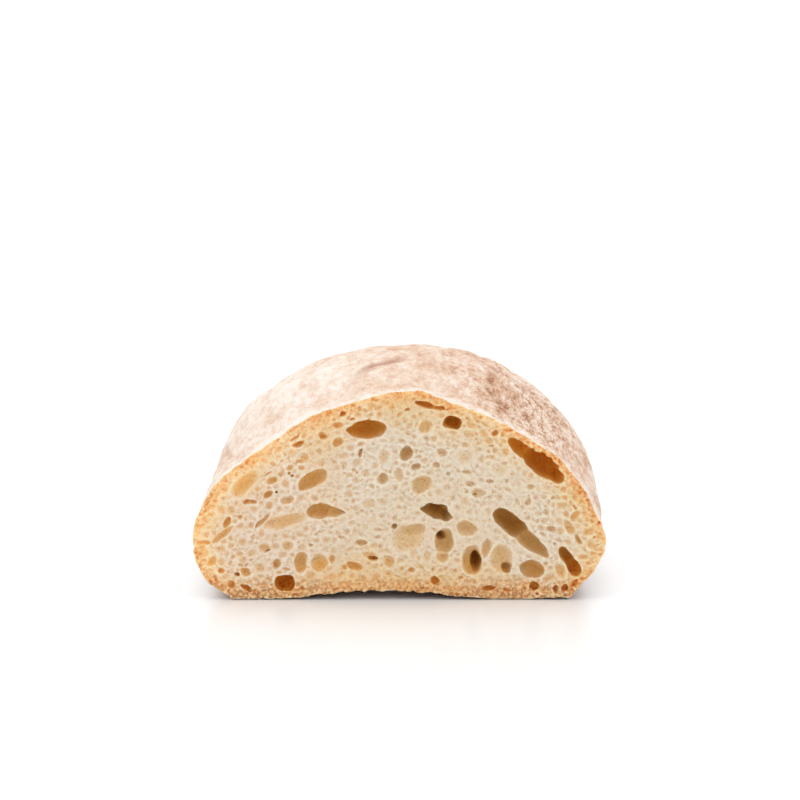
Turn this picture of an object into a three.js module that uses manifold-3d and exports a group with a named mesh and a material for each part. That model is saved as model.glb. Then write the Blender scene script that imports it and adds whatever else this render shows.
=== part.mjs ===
// Half a ciabatta loaf, baked as one piece and cut straight across its middle.
// Millimetres, +Z up. The cut face looks along -Y, the rounded end of the loaf along +Y.
// The origin is under the middle of the loaf, on the plane that it rests on.

import * as THREE from 'three';
import { ParametricGeometry } from 'three/addons/geometries/ParametricGeometry.js';
import { mergeVertices } from 'three/addons/utils/BufferGeometryUtils.js';
import Module from 'manifold-3d';

// ---- Driving dimensions ----------------------------------------------------------------

const LENGTH = 140;          // cut face to rounded end
const CUT_WIDTH = 120.6;     // widest chord of the cut face
const CUT_HEIGHT = 61.5;     // resting plane to the top of the cut face
const BODY_WIDTH = 121;      // the same two sizes where the loaf is fullest
const BODY_HEIGHT = 67;
const WAIST_HEIGHT = 22;     // height of the point where the rounded end closes

const FILL_LENGTH = 50;      // distance behind the cut where the loaf has filled out
const END_START = 60;        // distance behind the cut where the end starts to round off
const CROWN_ROUNDNESS = 2.5; // superellipse exponent of the end, seen from above and the side
const BASE_ROUNDNESS = 6;    // the same for the underside, which stays flat for longer

const ARCH_RISE = 2.8;       // how far the middle of the base lifts off at the cut
const ARCH_LEFT = -35;       // where that arch starts and ends across the base
const ARCH_RIGHT = 34;
const ARCH_LENGTH = 62;      // how far behind the cut the arch fades out

const CROWN_STEPS = 46;      // facets over the crown, across the loaf
const BASE_STEPS = 18;       // facets across the base
const LENGTH_STEPS = 30;     // facets from the cut face to the end
const PORE_SEGMENTS = 14;    // facets round a pore
const PORE_RINGS = 10;
const MERGE_DISTANCE = 1e-4; // vertices closer than this are one
const HALF_STEP = 0.5;       // tells the middle of the cut face, at step 0, from its rim

const HALF_LENGTH = LENGTH / 2;
const CUT_HALF = CUT_WIDTH / 2;
const BODY_HALF = BODY_WIDTH / 2;
const LEFT_FOOT = -49;       // where the crown meets the base on each side
const RIGHT_FOOT = 50.5;

// ---- Sections across the loaf ----------------------------------------------------------

function crownCurve(points) {
	return new THREE.SplineCurve(points.map(([x, z]) => new THREE.Vector2(x, z)));
}

// The crown at the cut, from the left foot over the top to the right foot, as x and z.
const cutCrown = crownCurve([
	[LEFT_FOOT, 0],
	[-56.5, 6],
	[-CUT_HALF, 15],
	[-58, 27],
	[-51, 37],
	[-35, 48],
	[-18, 57],
	[3, CUT_HEIGHT],
	[16, 58.2],
	[31, 51.4],
	[47, 40.4],
	[56, 28.5],
	[CUT_HALF, 16.5],
	[56.5, 7.5],
	[RIGHT_FOOT, 0]
]);

// The crown where the loaf is fullest, with rounder shoulders, point for point.
const bodyCrown = crownCurve([
	[LEFT_FOOT, 0],
	[-56.5, 6],
	[-BODY_HALF, 16],
	[-57.6, 29],
	[-51.3, 42.4],
	[-36.6, 56],
	[-18.4, 63.8],
	[2, BODY_HEIGHT],
	[17, 65],
	[33, 60],
	[48.6, 49],
	[57.2, 37],
	[BODY_HALF, 20],
	[57, 8],
	[RIGHT_FOOT, 0]
]);

// The main pores that the cut opened: centre x and z, half length, half height, depth and
// tilt in degrees, counted from +X towards +Z.
const PORES = [
	[-9.5, 50.5, 5.6, 2.8, 9, 3],
	[-25.4, 35.4, 5.1, 2.3, 5, 33],
	[-22.3, 26.1, 5.6, 2.2, 4.6, -1],
	[-34, 4.9, 2.7, 2.4, 9, 0],
	[15.2, 52.2, 2.7, 1.9, 8, -30],
	[8.5, 57, 4.6, 1, 5, -15],
	[40.6, 40.3, 8.6, 2.9, 11, -37],
	[10.5, 25.7, 4.4, 2.2, 9, -6],
	[12.8, 17, 2.8, 3.8, 6, 0],
	[21.4, 11.7, 3, 4.3, 10, 0],
	[19.6, 20.8, 3.6, 2.2, 5, -8],
	[34.6, 20.6, 8.6, 2.7, 7, -39],
	[38.3, 9.2, 3.6, 2.6, 6, 0],
	[49.6, 11.1, 4.2, 2, 8, -58],
	[2.9, 18.6, 5.2, 4, 1.8, 10],
	[1.8, 43.4, 2.1, 1.8, 5, 40],
	[6, 34.2, 3.2, 2.9, 3, 30],
	[-29, 11, 1.8, 2.8, 5, 0],
	[-24.1, 10.5, 2.3, 2.9, 3.5, 0],
	[29.6, 11.8, 3.2, 4.3, 3, 0]
];
const PORE_INSET = 0.15;     // how far a pore's middle lies behind the cut, as a share of depth

// ---- Crust surface ---------------------------------------------------------------------

function smoothStep(value) {
	const clamped = THREE.MathUtils.clamp(value, 0, 1);
	return clamped * clamped * (3 - 2 * clamped);
}

// Shrinks from 1 to 0 over the rounded end, along a quarter of a superellipse.
function endTaper(behind, roundness) {
	const along = Math.max(0, behind - END_START) / (LENGTH - END_START);
	return Math.pow(Math.max(0, 1 - Math.pow(along, roundness)), 1 / roundness);
}

// Height of the arch under the base, a raised cosine across the loaf that fades out behind.
function archHeight(x, behind) {
	if (x < ARCH_LEFT || x > ARCH_RIGHT) return 0;
	const across = (x - ARCH_LEFT) / (ARCH_RIGHT - ARCH_LEFT);
	const rise = 0.5 * ARCH_RISE * (1 - Math.cos(2 * Math.PI * across));
	return rise * (1 - smoothStep(behind / ARCH_LENGTH));
}

// One point of the section, going once round: over the crown, then back along the base.
// The section goes over from the one at the cut to the one of the full body.
function sectionPoint(turn, behind) {
	const crownShare = CROWN_STEPS / (CROWN_STEPS + BASE_STEPS);
	if (turn < crownShare) {
		const over = turn / crownShare;
		const filled = smoothStep(behind / FILL_LENGTH);
		return cutCrown.getPoint(over).lerp(bodyCrown.getPoint(over), filled);
	}
	const back = (turn - crownShare) / (1 - crownShare);
	const x = THREE.MathUtils.lerp(RIGHT_FOOT, LEFT_FOOT, back);
	return new THREE.Vector2(x, archHeight(x, behind));
}

// The whole skin: turn goes round the section, along goes from the middle of the cut face to
// its rim in one step, and from there over the crust to the tip of the rounded end.
function skinPoint(turn, along, target) {
	const step = along * (LENGTH_STEPS + 1);
	if (step < HALF_STEP) return target.set(0, -HALF_LENGTH, WAIST_HEIGHT);
	const share = Math.min(1, (step - 1) / LENGTH_STEPS);
	const behind = LENGTH * Math.sin(0.5 * Math.PI * share);
	const point = sectionPoint(turn, behind);
	const width = endTaper(behind, CROWN_ROUNDNESS);
	const height = endTaper(behind, point.y < WAIST_HEIGHT ? BASE_ROUNDNESS : CROWN_ROUNDNESS);
	return target.set(
		point.x * width,
		behind - HALF_LENGTH,
		WAIST_HEIGHT + (point.y - WAIST_HEIGHT) * height
	);
}

// ---- Solids ----------------------------------------------------------------------------

const wasm = await Module();
wasm.setup();

// A closed three.js geometry as a solid, with its doubled vertices merged and the faces that
// collapse at a pole or a seam left out.
function solidFrom(geometry) {
	geometry.deleteAttribute('normal');
	geometry.deleteAttribute('uv');
	const merged = mergeVertices(geometry, MERGE_DISTANCE);
	const corners = merged.getIndex().array;
	const kept = [];
	for (let i = 0; i < corners.length; i += 3) {
		const [a, b, c] = corners.slice(i, i + 3);
		if (a !== b && b !== c && c !== a) kept.push(a, b, c);
	}
	return new wasm.Manifold(new wasm.Mesh({
		numProp: 3,
		vertProperties: new Float32Array(merged.getAttribute('position').array),
		triVerts: new Uint32Array(kept)
	}));
}

function geometryFrom(solid) {
	const mesh = solid.getMesh();
	const geometry = new THREE.BufferGeometry();
	geometry.setAttribute('position', new THREE.BufferAttribute(mesh.vertProperties, 3));
	geometry.setIndex(new THREE.BufferAttribute(mesh.triVerts, 1));
	geometry.computeVertexNormals();
	return geometry;
}

function loafSolid() {
	return solidFrom(new ParametricGeometry(
		skinPoint, CROWN_STEPS + BASE_STEPS, LENGTH_STEPS + 1));
}

function poreSolid([x, z, halfLength, halfHeight, depth, tilt]) {
	const geometry = new THREE.SphereGeometry(1, PORE_SEGMENTS, PORE_RINGS);
	geometry.scale(halfLength, depth, halfHeight);
	geometry.rotateY(-THREE.MathUtils.degToRad(tilt));
	geometry.translate(x, PORE_INSET * depth - HALF_LENGTH, z);
	return solidFrom(geometry);
}

// ---- The loaf --------------------------------------------------------------------------

const bread = new THREE.MeshStandardMaterial({
	color: 0xe3cba4,
	roughness: 0.85,
	metalness: 0
});

let loaf = loafSolid();
for (const pore of PORES) {
	loaf = loaf.subtract(poreSolid(pore));
}

const ciabattaHalf = new THREE.Mesh(geometryFrom(loaf), bread);
ciabattaHalf.name = 'ciabatta_half';

const group = new THREE.Group();
group.add(ciabattaHalf);

export default group;
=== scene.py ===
"""Half a ciabatta loaf, cut straight across and lying on a pale table.

The loaf is one baked piece. Its crumb is an implicit solid, the loaf's inside with every pore
taken away, sampled on a lattice behind the cut and turned into polygons. Its crust is a
surface of two parameters that closes the crumb from behind.
"""

import logging
import math
from dataclasses import dataclass, field
from enum import Enum
from typing import NamedTuple, Sequence

import bmesh
import bpy
import numpy as np
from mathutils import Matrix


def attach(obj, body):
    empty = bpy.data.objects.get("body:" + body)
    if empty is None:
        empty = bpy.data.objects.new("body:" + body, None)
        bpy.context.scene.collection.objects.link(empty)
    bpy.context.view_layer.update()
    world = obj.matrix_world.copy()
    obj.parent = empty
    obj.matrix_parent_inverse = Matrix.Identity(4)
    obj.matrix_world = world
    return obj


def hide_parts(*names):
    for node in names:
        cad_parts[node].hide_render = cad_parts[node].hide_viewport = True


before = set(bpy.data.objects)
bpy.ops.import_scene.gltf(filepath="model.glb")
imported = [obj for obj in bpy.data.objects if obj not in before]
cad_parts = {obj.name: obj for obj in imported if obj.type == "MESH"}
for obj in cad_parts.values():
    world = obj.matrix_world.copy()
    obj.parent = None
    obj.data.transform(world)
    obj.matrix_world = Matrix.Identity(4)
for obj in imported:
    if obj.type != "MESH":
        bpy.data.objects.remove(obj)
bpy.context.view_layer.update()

import openvdb
from mathutils import Vector

NODE = "ciabatta_half"
MM = 0.001
# Keeps the middle of a pore from dividing by zero.
TINY = 1e-4
# Nearer to the loaf's long axis than this, in millimetres, a direction from it isn't trusted.
NEAR_AXIS = 1.0

log = logging.getLogger("ciabatta")

Pair = tuple[float, float]
Triple = tuple[float, float, float]
Colour = tuple[float, float, float, float]
Stops = Sequence[tuple[float, str]]
Socket = bpy.types.NodeSocket


# ---- Helpers ---------------------------------------------------------------------------


def linear(hex_colour: str) -> Colour:
    """Turn an sRGB hex colour into the linear colour that a shader reads.

    Args:
        hex_colour: Six hex digits, such as "E8DCC4".

    Returns:
        Red, green, blue and an alpha of 1, all linear.
    """
    shares = [int(hex_colour[i:i + 2], 16) / 255 for i in (0, 2, 4)]
    red, green, blue = (
        s / 12.92 if s <= 0.04045 else ((s + 0.055) / 1.055) ** 2.4 for s in shares
    )
    return (red, green, blue, 1.0)


def repeats(size: float) -> float:
    """Turn the size of a pattern in millimetres into its texture's Scale, repeats a metre."""
    return 1.0 / (size * MM)


def placed(name: str, data: bpy.types.ID) -> bpy.types.Object:
    """Make an object of some data and put it in the scene.

    Args:
        name: The object's name.
        data: A mesh, a light or a camera.

    Returns:
        The object, at the origin.
    """
    piece = bpy.data.objects.new(name, data)
    bpy.context.scene.collection.objects.link(piece)
    return piece


def aim(piece: bpy.types.Object, eye: Vector, target: Vector) -> None:
    """Put a light or a camera at a place and point it at another."""
    piece.location = eye
    piece.rotation_euler = (target - eye).to_track_quat("-Z", "Y").to_euler()


def smooth_step(value: np.ndarray) -> np.ndarray:
    """Ease from 0 to 1 with 3v^2 - 2v^3, with v held between 0 and 1."""
    held = np.clip(value, 0.0, 1.0)
    return held * held * (3.0 - 2.0 * held)


def soft_max(one: np.ndarray, other: np.ndarray, width: float) -> np.ndarray:
    """Take the greater of two values, rounding the crease where they cross.

    With h = 1 - |a - b| / width, held above 0, the result is max(a, b) + h^2 width / 4.

    Args:
        one: Values.
        other: Values of the same shape.
        width: How far apart two values may be and still be rounded.

    Returns:
        The rounded maximum.
    """
    near = np.maximum(1.0 - np.abs(one - other) / width, 0.0)
    return np.maximum(one, other) + near * near * (width / 4.0)


@dataclass(frozen=True)
class Noise:
    """Smooth value noise: random numbers on a lattice, eased between neighbours.

    Attributes:
        cell: Lattice spacing in millimetres, along x, y and z.
        seed: Seed of the lattice's random numbers.
        size: Its greatest value.
        period: How many lattice cells lie between two repeats.
    """

    cell: Triple
    seed: int
    size: float = 1.0
    period: int = 64

    def at(self, x: np.ndarray, y: np.ndarray, z: np.ndarray) -> np.ndarray:
        """Sample the noise.

        Args:
            x: Places across the loaf in millimetres.
            y: Places along the loaf.
            z: Heights.

        Returns:
            Values between -size and size, in the shape that x, y and z share.
        """
        draw = np.random.default_rng(self.seed)
        lattice = draw.uniform(-1.0, 1.0, (self.period,) * 3).astype(np.float32)
        whole = []
        share = []
        for place, cell in zip((x, y, z), self.cell):
            scaled = np.asarray(place, dtype=np.float32) / np.float32(cell)
            below = np.floor(scaled)
            whole.append(below.astype(np.int32))
            share.append(smooth_step(scaled - below))
        total = np.float32(0.0)
        for corner in range(8):
            steps = (corner & 1, corner >> 1 & 1, corner >> 2 & 1)
            index = [(w + s) % self.period for w, s in zip(whole, steps)]
            weight = np.float32(1.0)
            for s, part in zip(steps, share):
                weight = weight * (part if s else 1.0 - part)
            total = total + weight * lattice[index[0], index[1], index[2]]
        return total * self.size


# ---- The loaf's form -------------------------------------------------------------------


class Fold(NamedTuple):
    """A crease in the top crust, where the dough was folded over itself.

    Sizes are in millimetres and the turn, seen from above, is in degrees. The crease sways
    from side to side along a sine.
    """

    x: float
    behind: float
    half_length: float
    half_width: float
    depth: float
    turn: float
    sway: float = 1.2
    sway_length: float = 2.6

    def at(self, x: np.ndarray, behind: np.ndarray) -> np.ndarray:
        """Give the crease's share at places seen from above, from 0 to 1 along its line.

        Args:
            x: Places across the loaf.
            behind: Distances behind the cut.

        Returns:
            exp(-a^2 - b^2), with a and b the ways along and across it in its own sizes.
        """
        turn = math.radians(self.turn)
        along = (x - self.x) * math.cos(turn) + (behind - self.behind) * math.sin(turn)
        across = (behind - self.behind) * math.cos(turn) - (x - self.x) * math.sin(turn)
        across = across + self.sway * np.sin(along / self.sway_length)
        return np.exp(-(along / self.half_length) ** 2 - (across / self.half_width) ** 2)


class Wrinkles(NamedTuple):
    """Shallow furrows in the crust, mostly along the loaf, where the dough's skin slackened.

    They follow the lines where a smooth noise is zero. The noise is sampled on a cylinder
    round the loaf's long axis, so that a furrow stays put however the crust swells. Sizes
    are in millimetres, but for the half width, which is the noise's own value.
    """

    noise: Noise
    patches: Noise
    cylinder: float
    half_width: float
    depth: float
    cover: float = 0.65
    lowest: float = -14.0
    low_fade: float = 12.0
    end: float = 128.0
    end_fade: float = 28.0

    def at(self, x: np.ndarray, behind: np.ndarray, up: np.ndarray) -> np.ndarray:
        """Give the furrows' share of their depth, from 0 to 1.

        Args:
            x: Places across the loaf.
            behind: Distances behind the cut.
            up: Heights over the loaf's long axis.

        Returns:
            exp(-(n / w)^2) for the noise n and width w, in patches, above the base and
            short of the rounded end.
        """
        away = np.maximum(np.hypot(x, up), NEAR_AXIS)
        place = (self.cylinder * x / away, behind, self.cylinder * up / away)
        line = np.exp(-(self.noise.at(*place) / self.half_width) ** 2)
        patch = smooth_step(self.patches.at(*place) + self.cover)
        high = smooth_step((up - self.lowest) / self.low_fade)
        return line * patch * high * smooth_step((self.end - behind) / self.end_fade)


@dataclass
class LoafForm:
    """The crust's surface, without its pores, in millimetres.

    A section across the loaf is a Catmull-Rom crown over a base with a shallow arch. It
    blends from the section at the cut to the fuller one of the body, and both shrink along
    quarters of superellipses towards the rounded end. The arch is a raised cosine. A power
    of it makes it fuller, and a power of the way across makes it lean to the left.
    """

    length: float = 140.0
    waist_height: float = 22.0
    fill_length: float = 50.0
    end_start: float = 60.0
    crown_roundness: float = 2.5
    base_roundness: float = 6.0
    arch_rise: float = 2.2
    arch_fullness: float = 0.5
    arch_lean: float = 0.8
    arch_left: float = -30.0
    arch_right: float = 28.0
    arch_length: float = 62.0
    crown_share: float = 0.84
    cut_crown: Sequence[Pair] = (
        (-49, 0), (-56.5, 6), (-60.3, 15), (-58, 27), (-51, 37), (-35, 48), (-18, 57),
        (3, 61.5), (16, 58.2), (31, 51.4), (47, 40.4), (56, 28.5), (60.3, 16.5),
        (56.5, 7.5), (50.5, 0),
    )
    body_crown: Sequence[Pair] = (
        (-49, 0), (-56.5, 6), (-60.5, 16), (-57.6, 29), (-51.3, 42.4), (-36.6, 56),
        (-18.4, 63.8), (2, 66.6), (17, 65), (33, 60), (48.6, 49), (57.2, 37), (60.5, 20),
        (57, 8), (50.5, 0),
    )
    swells: Sequence[Noise] = (
        Noise((26, 34, 26), 11, 0.9),
        Noise((9, 15, 9), 12, 0.45),
        Noise((3.6, 5.0, 3.6), 13, 0.24),
    )
    fold: Fold = Fold(-5.6, 37.0, 11.0, 2.6, 0.6, 45.0)
    wrinkles: Wrinkles = Wrinkles(Noise((11, 34, 11), 15), Noise((24, 30, 24), 16), 46, 0.14, 0.8)

    @staticmethod
    def spline(points: Sequence[Pair], over: np.ndarray) -> np.ndarray:
        """Follow a uniform Catmull-Rom curve whose end points are doubled.

        Args:
            points: The curve's x and z points.
            over: Shares of the way along it, from 0 to 1.

        Returns:
            x and z in the last axis.
        """
        knots = np.array(points, dtype=float)
        last = len(knots) - 1
        place = np.clip(over, 0.0, 1.0) * last
        below = np.minimum(place.astype(int), last - 1)
        t = (place - below)[..., None]
        before, start, end, after = (
            knots[np.clip(below + k, 0, last)] for k in (-1, 0, 1, 2)
        )
        leave = (end - before) / 2
        arrive = (after - start) / 2
        cubic = 2 * start - 2 * end + leave + arrive
        square = 3 * end - 3 * start - 2 * leave - arrive
        return ((cubic * t + square) * t + leave) * t + start

    def taper(self, behind: np.ndarray, roundness: float) -> np.ndarray:
        """Shrink from 1 to 0 over the rounded end: (1 - a^n)^(1/n) of the share a of it."""
        along = np.clip((behind - self.end_start) / (self.length - self.end_start), 0, 1)
        return (1.0 - along ** roundness) ** (1.0 / roundness)

    def section(self, turn: np.ndarray, behind: np.ndarray) -> tuple[np.ndarray, np.ndarray]:
        """Place points on the sections: over the crown, then back along the base.

        Args:
            turn: Shares of the way round, from 0 at the left foot, up over the crown.
            behind: Distances behind the cut, in millimetres.

        Returns:
            x and z before the loaf tapers.
        """
        over = turn / self.crown_share
        filled = smooth_step(behind / self.fill_length)[..., None]
        crown = self.spline(self.cut_crown, over) * (1 - filled)
        crown = crown + self.spline(self.body_crown, over) * filled
        left, right = self.cut_crown[0][0], self.cut_crown[-1][0]
        back = (turn - self.crown_share) / (1 - self.crown_share)
        base_x = right + (left - right) * back
        across = np.clip((base_x - self.arch_left) / (self.arch_right - self.arch_left), 0, 1)
        across = across ** self.arch_lean
        rise = self.arch_rise * (0.5 - 0.5 * np.cos(2 * np.pi * across)) ** self.arch_fullness
        base_z = rise * (1 - smooth_step(behind / self.arch_length))
        on_crown = turn < self.crown_share
        return (
            np.where(on_crown, crown[..., 0], base_x),
            np.where(on_crown, crown[..., 1], base_z),
        )

    def skin(self, turn: np.ndarray, behind: np.ndarray) -> np.ndarray:
        """Place points on the crust, with the dough's swells and wrinkles.

        Each point of the tapered section is pushed out from the loaf's long axis by smooth
        noise. Nothing goes below the table.

        Args:
            turn: Shares of the way round the section.
            behind: Distances behind the cut, in millimetres.

        Returns:
            x, y and z in the last axis, in millimetres, with y = 0 in the loaf's middle.
        """
        x, z = self.section(turn, behind)
        up = z - self.waist_height
        round_off = np.where(
            up < 0,
            self.taper(behind, self.base_roundness),
            self.taper(behind, self.crown_roundness),
        )
        x = x * self.taper(behind, self.crown_roundness)
        up = up * round_off
        y = behind - self.length / 2
        push = sum(swell.at(x, y, up) for swell in self.swells)
        push = push - self.fold.depth * self.fold.at(x, behind) * (up > 0)
        push = push - self.wrinkles.depth * self.wrinkles.at(x, behind, up)
        reach = np.maximum(np.hypot(x, up), NEAR_AXIS)
        x = x + push * x / reach
        up = up + push * up / reach
        return np.stack([x, y, np.maximum(up + self.waist_height, 0.0)], axis=-1)


# ---- Pores -----------------------------------------------------------------------------


class Pore(NamedTuple):
    """One gas pore, in millimetres.

    The last value bends its outline: 2 is an ellipse, less is a pointed leaf, more is a box.
    """

    x: float
    z: float
    half_length: float
    half_height: float
    depth: float
    tilt: float = 0.0
    outline: float = 2.0


# The pores that show best in the cut, from the crown down to the base.
CROWN_PORES = (
    Pore(-9.6, 50.3, 5.6, 2.9, 7.5, 4, 1.8),
    Pore(-13.6, 50.2, 2.4, 1.3, 5, 2, 1.4),
    Pore(15.3, 52.2, 2.7, 1.8, 7.4, -17, 3.4),
    Pore(7.2, 57.7, 3.0, 0.9, 3.5, -14),
    Pore(11.6, 56.7, 2.8, 0.6, 2.2, -12),
    Pore(7.5, 51.2, 2.2, 2.0, 1.4, 40),
    Pore(-18.2, 51.6, 1.6, 1.0, 1.4),
    Pore(-18.0, 46.6, 1.6, 1.3, 1.7, 30),
    Pore(-17.0, 55.3, 1.3, 0.8, 2.2, 10),
    Pore(-13.8, 53.3, 0.9, 0.4, 1.2, 10),
    Pore(-22.5, 48.4, 1.2, 1.2, 1.9),
    Pore(-29.5, 46.0, 1.8, 0.8, 2.0, 22),
    Pore(-30.6, 48.0, 1.8, 0.4, 1.2, 45),
    Pore(-37.5, 45.3, 1.5, 0.8, 1.2, 30),
    Pore(-45.3, 34.2, 5.5, 2.4, 1.5, 43, 2.3),
    Pore(-37.2, 35.3, 1.8, 1.0, 1.4, 15),
    Pore(-27.6, 42.2, 1.5, 1.6, 1.0),
    Pore(-29.1, 40.8, 1.3, 0.7, 1.0),
    Pore(-25.4, 35.4, 5.1, 2.3, 3.6, 33, 1.8),
    Pore(-38.6, 31.2, 1.5, 1.0, 1.8, 38),
    Pore(-36.0, 31.7, 0.5, 0.4, 1.8),
    Pore(-32.3, 37.5, 0.5, 0.4, 1.2),
    Pore(-31.3, 36.7, 0.6, 0.4, 1.5),
    Pore(-38.8, 37.1, 1.1, 0.3, 1.0, 28),
    Pore(-28.4, 39.0, 1.1, 0.8, 0.9),
    Pore(-32.0, 39.0, 1.3, 0.9, 0.9, 20),
    Pore(-11.4, 43.4, 0.6, 1.4, 1.6, -12),
    Pore(-4.8, 42.4, 1.8, 2.5, 0.9),
    Pore(1.8, 43.3, 2.2, 1.7, 3.2, 38, 2.4),
    Pore(2.2, 56.2, 0.9, 0.4, 1.4, 30),
    Pore(-0.2, 54.6, 1.4, 0.5, 0.9, 30),
    Pore(4.8, 39.3, 1.6, 0.9, 1.8, 8, 2.6),
    Pore(10.4, 39.8, 1.2, 1.1, 1.3),
    Pore(12.0, 43.5, 1.4, 1.5, 1.3),
    Pore(18.5, 42.0, 2.8, 2.7, 0.8),
    Pore(18.8, 45.8, 1.2, 0.8, 0.9),
    Pore(19.4, 37.6, 1.5, 0.5, 1.2, -6),
    Pore(14.2, 37.3, 0.6, 0.5, 1.1),
    Pore(20.6, 34.3, 1.6, 1.1, 1.2, -12),
    Pore(-5.0, 35.9, 2.0, 1.6, 1.9, 45),
    Pore(-0.2, 37.0, 1.4, 2.4, 1.2),
    Pore(6.2, 34.0, 3.4, 2.6, 2.4, 30),
    Pore(35.4, 44.4, 4.8, 1.9, 7.0, -38, 2.2),
    Pore(41.6, 39.9, 6.4, 3.2, 11, -37, 2.3),
    Pore(45.4, 36.7, 2.7, 2.0, 9, -30),
    Pore(27.5, 49.3, 1.3, 0.9, 1.7, 30),
    Pore(26.5, 45.3, 1.0, 0.3, 0.9),
    Pore(23.8, 41.6, 1.3, 1.0, 0.7),
    Pore(30.3, 40.5, 1.0, 0.8, 0.7),
    Pore(29.0, 38.4, 2.4, 2.2, 0.6),
    Pore(38.0, 33.4, 1.4, 1.0, 1.0),
    Pore(26.2, 34.9, 1.2, 0.6, 1.3, -6),
    Pore(22.8, 31.5, 2.2, 1.5, 1.3, 12),
    Pore(37.3, 28.8, 1.1, 1.4, 1.2, -15),
)
LEFT_PORES = (
    Pore(-44.9, 28.9, 1.0, 0.8, 1.7, 20),
    Pore(-43.2, 28.8, 1.5, 0.6, 1.5),
    Pore(-50.6, 22.9, 1.0, 2.0, 1.8, -18),
    Pore(-40.3, 23.1, 3.1, 0.8, 1.4, 43),
    Pore(-33.6, 23.2, 7.2, 2.2, 1.5, 14),
    Pore(-38.3, 27.9, 1.4, 1.1, 1.0, 40),
    Pore(-33.0, 29.6, 2.2, 1.3, 1.3, 20),
    Pore(-52.0, 19.2, 4.0, 0.9, 1.3, 38),
    Pore(-57.3, 16.6, 2.3, 0.8, 1.0, 5),
    Pore(-39.5, 15.2, 2.0, 1.7, 1.1),
    Pore(-38.6, 14.2, 1.2, 0.35, 1.9, 30),
    Pore(-33.0, 15.8, 1.8, 1.9, 1.1),
    Pore(-26.5, 16.2, 0.8, 0.5, 0.9),
    Pore(-36.0, 10.5, 1.6, 1.4, 1.9, 35),
    Pore(-29.0, 11.0, 1.9, 3.0, 2.6, 0, 2.3),
    Pore(-23.6, 10.6, 2.5, 3.0, 1.9),
    Pore(-33.7, 4.6, 2.8, 2.4, 7.5, 0, 3.0),
    Pore(-45.2, 8.3, 1.7, 1.2, 1.6, -30),
    Pore(-47.8, 7.6, 1.0, 0.6, 2.2, -20),
    Pore(-52.6, 8.5, 1.0, 1.0, 1.5),
    Pore(-54.0, 6.2, 1.3, 0.7, 1.2, -50),
    Pore(-49.5, 4.3, 1.1, 1.2, 1.7, 30),
    Pore(-45.0, 3.4, 2.1, 0.9, 2.4, -28),
    Pore(-55.3, 11.4, 1.9, 1.3, 1.2, 32),
    Pore(-44.8, 10.3, 0.6, 0.4, 1.0),
    Pore(-28.8, 3.5, 0.7, 0.7, 1.3),
    Pore(-38.3, 6.3, 1.0, 0.9, 0.7),
    Pore(-33.3, 8.9, 1.0, 0.6, 0.9, -20),
    Pore(-47.0, 24.4, 0.8, 0.7, 1.0),
    Pore(-23.4, 26.3, 4.1, 2.4, 4.2, 4, 1.7),
    Pore(-20.4, 26.1, 4.9, 1.5, 3.0, -7, 1.4),
    Pore(-25.0, 30.2, 1.1, 0.8, 0.9),
    Pore(-9.0, 28.3, 2.3, 1.8, 0.8, 10),
    Pore(-19.8, 12.0, 1.3, 1.8, 1.3),
    Pore(-13.3, 9.9, 2.8, 1.4, 2.0, -16),
    Pore(-16.3, 9.3, 0.9, 0.8, 1.2),
    Pore(-11.3, 16.8, 2.0, 0.9, 1.8),
    Pore(-17.2, 18.4, 1.5, 0.35, 0.9),
)
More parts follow.
